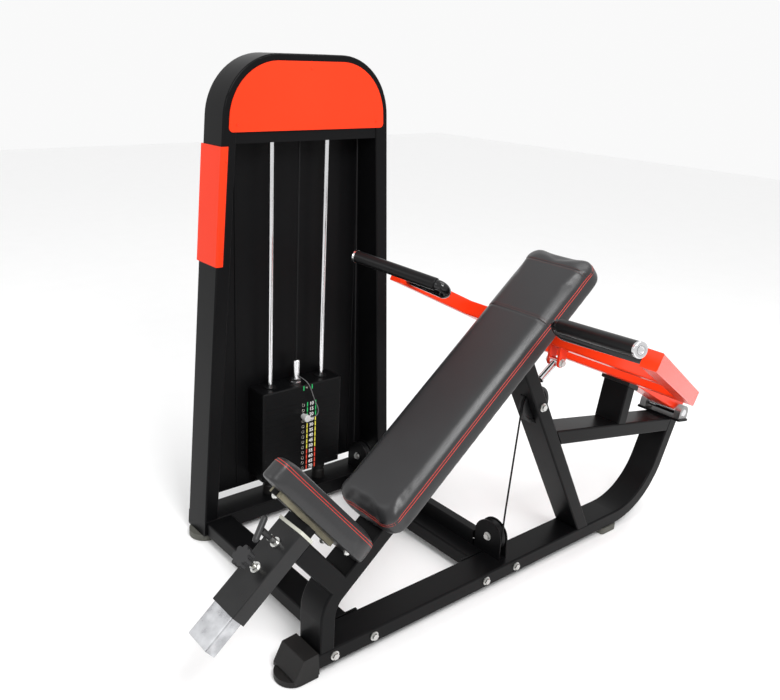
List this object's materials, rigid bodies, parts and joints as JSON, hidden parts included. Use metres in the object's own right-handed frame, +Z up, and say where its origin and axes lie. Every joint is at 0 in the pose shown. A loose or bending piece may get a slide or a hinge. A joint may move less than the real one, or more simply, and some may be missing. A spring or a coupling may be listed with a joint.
{
  "type": "incline_press_machine",
  "caption": "Seated incline press machine: sloped bench on a low rail, one pivoting press arm with two grips, cable and pulleys to a weight stack in a side tower.",
  "frame": {"origin": "centre of the front foot's flat bottom, on the floor under the front end of the rail, in the bench's middle plane", "axes": "+Y from the seat's front end towards the press arm's pivot at the rear; +Z up; +X to the seated person's left, away from the weight tower, which stands on the -X side"},
  "size_m": [1.3761, 2.0205, 1.618],
  "materials": {
    "frame_black": "satin black powder coat",
    "arm_orange": "orange-red powder coat",
    "plate_orange": "orange-red sheet steel, powder coated",
    "sheet_black": "fine textured black sheet steel",
    "stack_black": "cast weight plates, black enamel",
    "chrome": "polished chrome plate",
    "zinc": "zinc plated steel",
    "block_silver": "satin cast aluminium",
    "black_rubber": "matt black rubber",
    "grey_rubber": "grey-olive rubber",
    "cord_black": "black coated steel cable",
    "leatherette": "black leatherette over foam, red piping",
    "pulley_black": "black nylon",
    "knob_black": "black plastic",
    "bush_cream": "cream nylon",
    "steel_black": "black oxide steel"
  },
  "bodies": {
    "frame": {"rail": "frame_black", "front_boot": "black_rubber", "spine": "frame_black", "strut": "frame_black", "top_beam": "frame_black", "stop_post": "frame_black", "stop_bumper": "black_rubber", "crossbeams": "frame_black", "cable_channel": "sheet_black", "rubber_feet": "grey_rubber", "frame_bolts": "zinc", "pulley_brackets": "frame_black", "pivot_plate": "frame_black", "bearing_blocks": "block_silver", "tower_frame": "frame_black", "tower_base": "frame_black", "header_panel": "sheet_black", "header_plate": "plate_orange", "side_plate": "plate_orange", "rear_panel": "sheet_black", "guide_rods": "chrome", "rod_bar": "frame_black", "stack_cushions": "black_rubber", "resting_plates": "stack_black", "main_cable": "cord_black", "back_pad": "leatherette", "pad_plates": "frame_black", "seat_sleeve": "frame_black", "sleeve_bush": "bush_cream", "seat_arm": "frame_black", "sleeve_nuts": "zinc"},
    "press_arm": {"side_arms": "arm_orange", "cross_tubes": "arm_orange", "centre_arm": "arm_orange", "pivot_shaft": "chrome", "link_ears": "arm_orange", "link_bolt": "zinc", "handles": "steel_black", "grips": "black_rubber", "grip_caps": "chrome"},
    "cable_link": {"cable_link": "chrome", "link_cable": "cord_black"},
    "stack": {"lifted_plates": "stack_black", "top_plate": "stack_black", "guide_bushes": "knob_black", "selector_stem": "chrome", "pin_lanyard": "cord_black", "stack_cable": "cord_black"},
    "selector_pin": {"selector_pin": "steel_black"},
    "rail_pulley": {"rail_pulley": "pulley_black"},
    "tower_pulley": {"tower_pulley": "pulley_black"},
    "top_pulley_front": {"top_pulley_front": "pulley_black"},
    "top_pulley_rear": {"top_pulley_rear": "pulley_black"},
    "strut_pulley": {"strut_pulley": "pulley_black"},
    "seat": {"seat_pad": "leatherette", "seat_plates": "zinc", "seat_bolts": "zinc", "seat_post": "chrome"},
    "pull_pin": {"pull_pin": "knob_black"},
    "star_knob": {"star_knob": "knob_black"}
  },
  "joints": [
    {"name": "press_arm_pivot", "type": "hinge", "parent": "frame", "child": "press_arm", "pos_m": [0, 1.696, 0.406], "axis": [-1, 0, 0], "range_deg": [0, 27]},
    {"name": "cable_link_pivot", "type": "hinge", "parent": "press_arm", "child": "cable_link", "pos_m": [0.011, 0.992, 0.73], "axis": [1, 0, 0], "range_deg": [0, 40], "deforming": ["link_cable"]},
    {"name": "stack_lift", "type": "slide", "parent": "frame", "child": "stack", "axis": [0, 0, 1], "range_m": [0, 0.36], "deforming": ["stack_cable"]},
    {"name": "selector_pin_pull", "type": "slide", "parent": "stack", "child": "selector_pin", "axis": [1, 0, 0], "range_m": [0, 0.075]},
    {"name": "rail_pulley_turn", "type": "hinge", "parent": "frame", "child": "rail_pulley", "pos_m": [-0.035, 0.824, 0.139], "axis": [0, -1, 0], "range_deg": [0, 450]},
    {"name": "tower_pulley_turn", "type": "hinge", "parent": "frame", "child": "tower_pulley", "pos_m": [-0.726, 0.824, 0.139], "axis": [0, -1, 0], "range_deg": [0, 450]},
    {"name": "top_pulley_front_turn", "type": "hinge", "parent": "frame", "child": "top_pulley_front", "pos_m": [-0.772, 0.5875, 1.45], "axis": [-1, 0, 0], "range_deg": [0, 450]},
    {"name": "top_pulley_rear_turn", "type": "hinge", "parent": "frame", "child": "top_pulley_rear", "pos_m": [-0.772, 0.734, 1.45], "axis": [-1, 0, 0], "range_deg": [0, 450]},
    {"name": "strut_pulley_turn", "type": "hinge", "parent": "frame", "child": "strut_pulley", "pos_m": [0.011, 0.906, 0.606], "axis": [-1, 0, 0], "range_deg": [0, 385]},
    {"name": "seat_adjust", "type": "slide", "parent": "frame", "child": "seat", "axis": [0, 0.7705, 0.6374], "range_m": [-0.02, 0.03]},
    {"name": "pull_pin_draw", "type": "slide", "parent": "frame", "child": "pull_pin", "axis": [0, -0.6374, 0.7705], "range_m": [0, 0.01], "stiffness_N_per_m": 700},
    {"name": "star_knob_turn", "type": "hinge", "parent": "frame", "child": "star_knob", "pos_m": [0, -0.1064, 0.39218], "axis": [0, -0.6374, 0.7705], "range_deg": [0, 540]}
  ],
  "couplings": [
    {"joint": "stack_lift", "follows": "press_arm_pivot", "m_per_rad": 0.7575},
    {"joint": "cable_link_pivot", "follows": "press_arm_pivot", "ratio": 1.463},
    {"joint": "rail_pulley_turn", "follows": "press_arm_pivot", "ratio": 16.467},
    {"joint": "tower_pulley_turn", "follows": "press_arm_pivot", "ratio": 16.467},
    {"joint": "top_pulley_front_turn", "follows": "press_arm_pivot", "ratio": 16.467},
    {"joint": "top_pulley_rear_turn", "follows": "press_arm_pivot", "ratio": 16.467},
    {"joint": "strut_pulley_turn", "follows": "press_arm_pivot", "ratio": 14.028}
  ]
}
